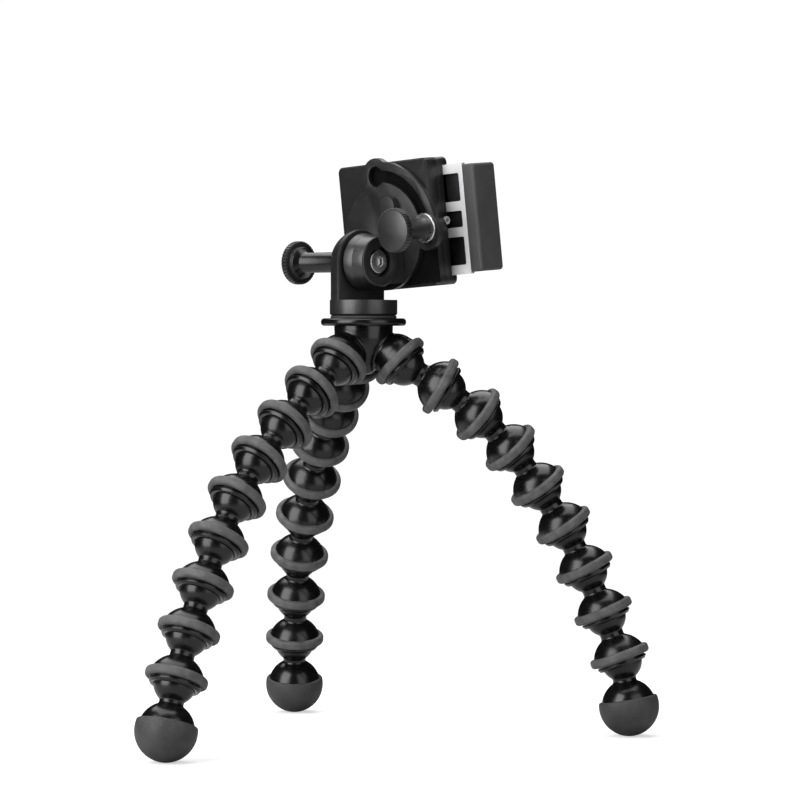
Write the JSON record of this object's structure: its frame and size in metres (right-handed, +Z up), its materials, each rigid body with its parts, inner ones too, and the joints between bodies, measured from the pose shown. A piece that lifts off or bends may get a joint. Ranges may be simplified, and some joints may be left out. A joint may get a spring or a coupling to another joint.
{
  "type": "flexible leg tripod",
  "caption": "Small tripod with bendable ball-jointed legs, rubber grip rings and ball feet, a tilting head and a sprung clamp for a flat handheld device.",
  "frame": {"origin": "middle of the floor rectangle that the three feet cover, feet on Z = 0", "axes": "+Z up, +X along the tilt axis from the tilt knob to the bolt's head, +Y away from the arm towards the clamp's front"},
  "size_m": [0.193, 0.2228, 0.2379],
  "materials": {
    "black_gloss": "glossy moulded",
    "grip_rubber": "matte",
    "head_plastic": "satin moulded",
    "jaw_plastic": "fine moulded texture",
    "silver_plastic": "silver satin",
    "bright_steel": "bright",
    "plain_steel": "plain"
  },
  "bodies": {
    "stand": {"hub_body": "black_gloss", "hub_rings": "grip_rubber", "hub_plate": "black_gloss", "head_pad": "grip_rubber", "hub_stud": "plain_steel", "head_base": "head_plastic"},
    "head_arm": {"tilt_arm": "head_plastic", "tilt_bolt": "bright_steel", "tilt_washer": "plain_steel", "pivot_screw": "plain_steel"},
    "tilt_knob": {"tilt_knob": "head_plastic"},
    "clamp": {"clamp_back_shell": "head_plastic", "clamp_front_shell": "head_plastic", "clamp_screws": "plain_steel", "clamp_front_pad": "grip_rubber", "pivot_washer": "bright_steel", "lock_stud": "bright_steel", "lock_washer": "bright_steel", "fixed_jaw": "jaw_plastic", "fixed_jaw_pad": "grip_rubber", "guide_rods": "plain_steel", "guide_tube": "silver_plastic", "jaw_springs": "plain_steel"},
    "lock_knob": {"lock_knob": "head_plastic"},
    "jaw": {"jaw_frame": "silver_plastic", "jaw_backing": "jaw_plastic", "moving_jaw": "jaw_plastic", "moving_jaw_pad": "grip_rubber"},
    "left_link_1": {"left_link_1": "black_gloss"},
    "left_link_2": {"left_link_2": "black_gloss"},
    "left_link_3": {"left_link_3": "black_gloss"},
    "left_link_4": {"left_link_4": "black_gloss"},
    "left_link_5": {"left_link_5": "black_gloss"},
    "left_link_6": {"left_link_6": "black_gloss"},
    "left_link_7": {"left_link_7": "black_gloss"},
    "left_link_8": {"left_link_8": "black_gloss"},
    "left_foot": {"left_foot_shell": "black_gloss", "left_foot_pad": "grip_rubber"},
    "right_link_1": {"right_link_1": "black_gloss"},
    "right_link_2": {"right_link_2": "black_gloss"},
    "right_link_3": {"right_link_3": "black_gloss"},
    "right_link_4": {"right_link_4": "black_gloss"},
    "right_link_5": {"right_link_5": "black_gloss"},
    "right_link_6": {"right_link_6": "black_gloss"},
    "right_link_7": {"right_link_7": "black_gloss"},
    "right_link_8": {"right_link_8": "black_gloss"},
    "right_foot": {"right_foot_shell": "black_gloss", "right_foot_pad": "grip_rubber"},
    "rear_link_1": {"rear_link_1": "black_gloss"},
    "rear_link_2": {"rear_link_2": "black_gloss"},
    "rear_link_3": {"rear_link_3": "black_gloss"},
    "rear_link_4": {"rear_link_4": "black_gloss"},
    "rear_link_5": {"rear_link_5": "black_gloss"},
    "rear_link_6": {"rear_link_6": "black_gloss"},
    "rear_link_7": {"rear_link_7": "black_gloss"},
    "rear_link_8": {"rear_link_8": "black_gloss"},
    "rear_foot": {"rear_foot_shell": "black_gloss", "rear_foot_pad": "grip_rubber"}
  },
  "joints": [
    {"name": "left_link_1_bend", "type": "hinge", "parent": "stand", "child": "left_link_1", "pos_m": [0.01364, -0.00036, 0.1527], "axis": [-1, -0.0087, 0], "range_deg": [-35, 21.9]},
    {"name": "left_link_2_bend", "type": "hinge", "parent": "left_link_1", "child": "left_link_2", "pos_m": [0.01378, -0.01598, 0.14093], "axis": [-0.0058, -0.6691, 0.7431], "range_deg": [-28.8, 30.4]},
    {"name": "left_link_3_bend", "type": "hinge", "parent": "left_link_2", "child": "left_link_3", "pos_m": [0.01365, -0.0305, 0.12785], "axis": [1, 0.0087, 0], "range_deg": [-32.5, 27.5]},
    {"name": "left_link_4_bend", "type": "hinge", "parent": "left_link_3", "child": "left_link_4", "pos_m": [0.01377, -0.04445, 0.11415], "axis": [-0.0468, 0.7646, -0.6428], "range_deg": [-27.4, 31.6]},
    {"name": "left_link_5_bend", "type": "hinge", "parent": "left_link_4", "child": "left_link_5", "pos_m": [0.01454, -0.05699, 0.09917], "axis": [-0.9954, -0.0958, 0], "range_deg": [-23, 35]},
    {"name": "left_link_6_bend", "type": "hinge", "parent": "left_link_5", "child": "left_link_6", "pos_m": [0.01556, -0.06759, 0.08278], "axis": [0.1299, -0.8692, 0.4772], "range_deg": [-31.3, 28]},
    {"name": "left_link_7_bend", "type": "hinge", "parent": "left_link_6", "child": "left_link_7", "pos_m": [0.01694, -0.07681, 0.0656], "axis": [0.9863, 0.165, 0], "range_deg": [-32, 28]},
    {"name": "left_link_8_bend", "type": "hinge", "parent": "left_link_7", "child": "left_link_8", "pos_m": [0.01838, -0.08542, 0.0481], "axis": [-0.1821, 0.8952, -0.4067], "range_deg": [-29, 30.8]},
    {"name": "left_foot_bend", "type": "hinge", "parent": "left_link_8", "child": "left_foot", "pos_m": [0.01996, -0.09321, 0.03024], "axis": [-0.9763, -0.2164, 0], "range_deg": [-24.4, 35]},
    {"name": "right_link_1_bend", "type": "hinge", "parent": "stand", "child": "right_link_1", "pos_m": [0.02655, 0.02552, 0.1527], "axis": [0.7373, -0.6756, 0], "range_deg": [-35, 12.6]},
    {"name": "right_link_2_bend", "type": "hinge", "parent": "right_link_1", "child": "right_link_2", "pos_m": [0.03798, 0.038, 0.14292], "axis": [0.3146, 0.5133, 0.7985], "range_deg": [-35, 19.8]},
    {"name": "right_link_3_bend", "type": "hinge", "parent": "right_link_2", "child": "right_link_3", "pos_m": [0.04614, 0.05131, 0.13115], "axis": [-0.8788, 0.4772, 0], "range_deg": [-35, 20.9]},
    {"name": "right_link_4_bend", "type": "hinge", "parent": "right_link_3", "child": "right_link_4", "pos_m": [0.05262, 0.06324, 0.11708], "axis": [-0.4107, -0.6972, -0.5875], "range_deg": [-30.3, 27.5]},
    {"name": "right_link_5_bend", "type": "hinge", "parent": "right_link_4", "child": "right_link_5", "pos_m": [0.05845, 0.07314, 0.10126], "axis": [0.8141, -0.5807, 0], "range_deg": [-27, 32.7]},
    {"name": "right_link_6_bend", "type": "hinge", "parent": "right_link_5", "child": "right_link_6", "pos_m": [0.06463, 0.08181, 0.08486], "axis": [0.5956, 0.6733, 0.4381], "range_deg": [-25.9, 32.5]},
    {"name": "right_link_7_bend", "type": "hinge", "parent": "right_link_6", "child": "right_link_7", "pos_m": [0.0703, 0.08822, 0.06729], "axis": [-0.6756, 0.7373, 0], "range_deg": [-32.8, 27]},
    {"name": "right_link_8_bend", "type": "hinge", "parent": "right_link_7", "child": "right_link_8", "pos_m": [0.07593, 0.09338, 0.04929], "axis": [-0.7555, -0.559, -0.3417], "range_deg": [-32.2, 27.5]},
    {"name": "right_foot_bend", "type": "hinge", "parent": "right_link_8", "child": "right_foot", "pos_m": [0.0813, 0.09735, 0.03092], "axis": [0.5075, -0.8616, 0], "range_deg": [-20, 35]},
    {"name": "rear_link_1_bend", "type": "hinge", "parent": "stand", "child": "rear_link_1", "pos_m": [-0.00232, 0.02376, 0.1527], "axis": [0.4462, 0.8949, 0], "range_deg": [-35, 15.1]},
    {"name": "rear_link_2_bend", "type": "hinge", "parent": "rear_link_1", "child": "rear_link_2", "pos_m": [-0.01747, 0.03131, 0.14291], "axis": [-0.5468, 0.2846, 0.7874], "range_deg": [-28, 29.8]},
    {"name": "rear_link_3_bend", "type": "hinge", "parent": "rear_link_2", "child": "rear_link_3", "pos_m": [-0.03112, 0.03841, 0.13085], "axis": [-0.4617, -0.887, 0], "range_deg": [-35, 23]},
    {"name": "rear_link_4_bend", "type": "hinge", "parent": "rear_link_3", "child": "rear_link_4", "pos_m": [-0.04337, 0.04479, 0.11702], "axis": [0.6899, -0.3591, -0.6286], "range_deg": [-29.4, 29.4]},
    {"name": "rear_link_5_bend", "type": "hinge", "parent": "rear_link_4", "child": "rear_link_5", "pos_m": [-0.05427, 0.05047, 0.10181], "axis": [0.4617, 0.887, 0], "range_deg": [-24, 35]},
    {"name": "rear_link_6_bend", "type": "hinge", "parent": "rear_link_5", "child": "rear_link_6", "pos_m": [-0.0637, 0.05538, 0.08541], "axis": [-0.7834, 0.4254, 0.4531], "range_deg": [-28.8, 29.9]},
    {"name": "rear_link_7_bend", "type": "hinge", "parent": "rear_link_6", "child": "rear_link_7", "pos_m": [-0.07149, 0.0596, 0.06798], "axis": [-0.5373, -0.8434, 0], "range_deg": [-35, 24]},
    {"name": "rear_link_8_bend", "type": "hinge", "parent": "rear_link_7", "child": "rear_link_8", "pos_m": [-0.07738, 0.06336, 0.04972], "axis": [0.7665, -0.5882, -0.2579], "range_deg": [-31.2, 27.6]},
    {"name": "rear_foot_bend", "type": "hinge", "parent": "rear_link_8", "child": "rear_foot", "pos_m": [-0.08138, 0.06643, 0.03083], "axis": [0.6756, 0.7373, 0], "range_deg": [-26.4, 33.5]},
    {"name": "head_tilt", "type": "hinge", "parent": "stand", "child": "head_arm", "pos_m": [0.01262, 0.01631, 0.1947], "axis": [1, 0, 0], "range_deg": [-5, 86]},
    {"name": "tilt_knob_turn", "type": "hinge", "parent": "head_arm", "child": "tilt_knob", "pos_m": [0.01262, 0.01631, 0.1947], "axis": [-1, 0, 0], "range_deg": [0, 180]},
    {"name": "clamp_turn", "type": "hinge", "parent": "head_arm", "child": "clamp", "pos_m": [0.01022, 0.03224, 0.20483], "axis": [0, -0.9976, -0.0698], "range_deg": [-3.4, 86.6]},
    {"name": "lock_knob_turn", "type": "hinge", "parent": "clamp", "child": "lock_knob", "pos_m": [0.03525, 0.03198, 0.20852], "axis": [0, -0.9976, -0.0698], "range_deg": [0, 180]},
    {"name": "jaw_slide", "type": "slide", "parent": "clamp", "child": "jaw", "axis": [0.9982, -0.0041, 0.0592], "range_m": [-0.0072, 0.024], "deforming": ["jaw_springs"]}
  ]
}
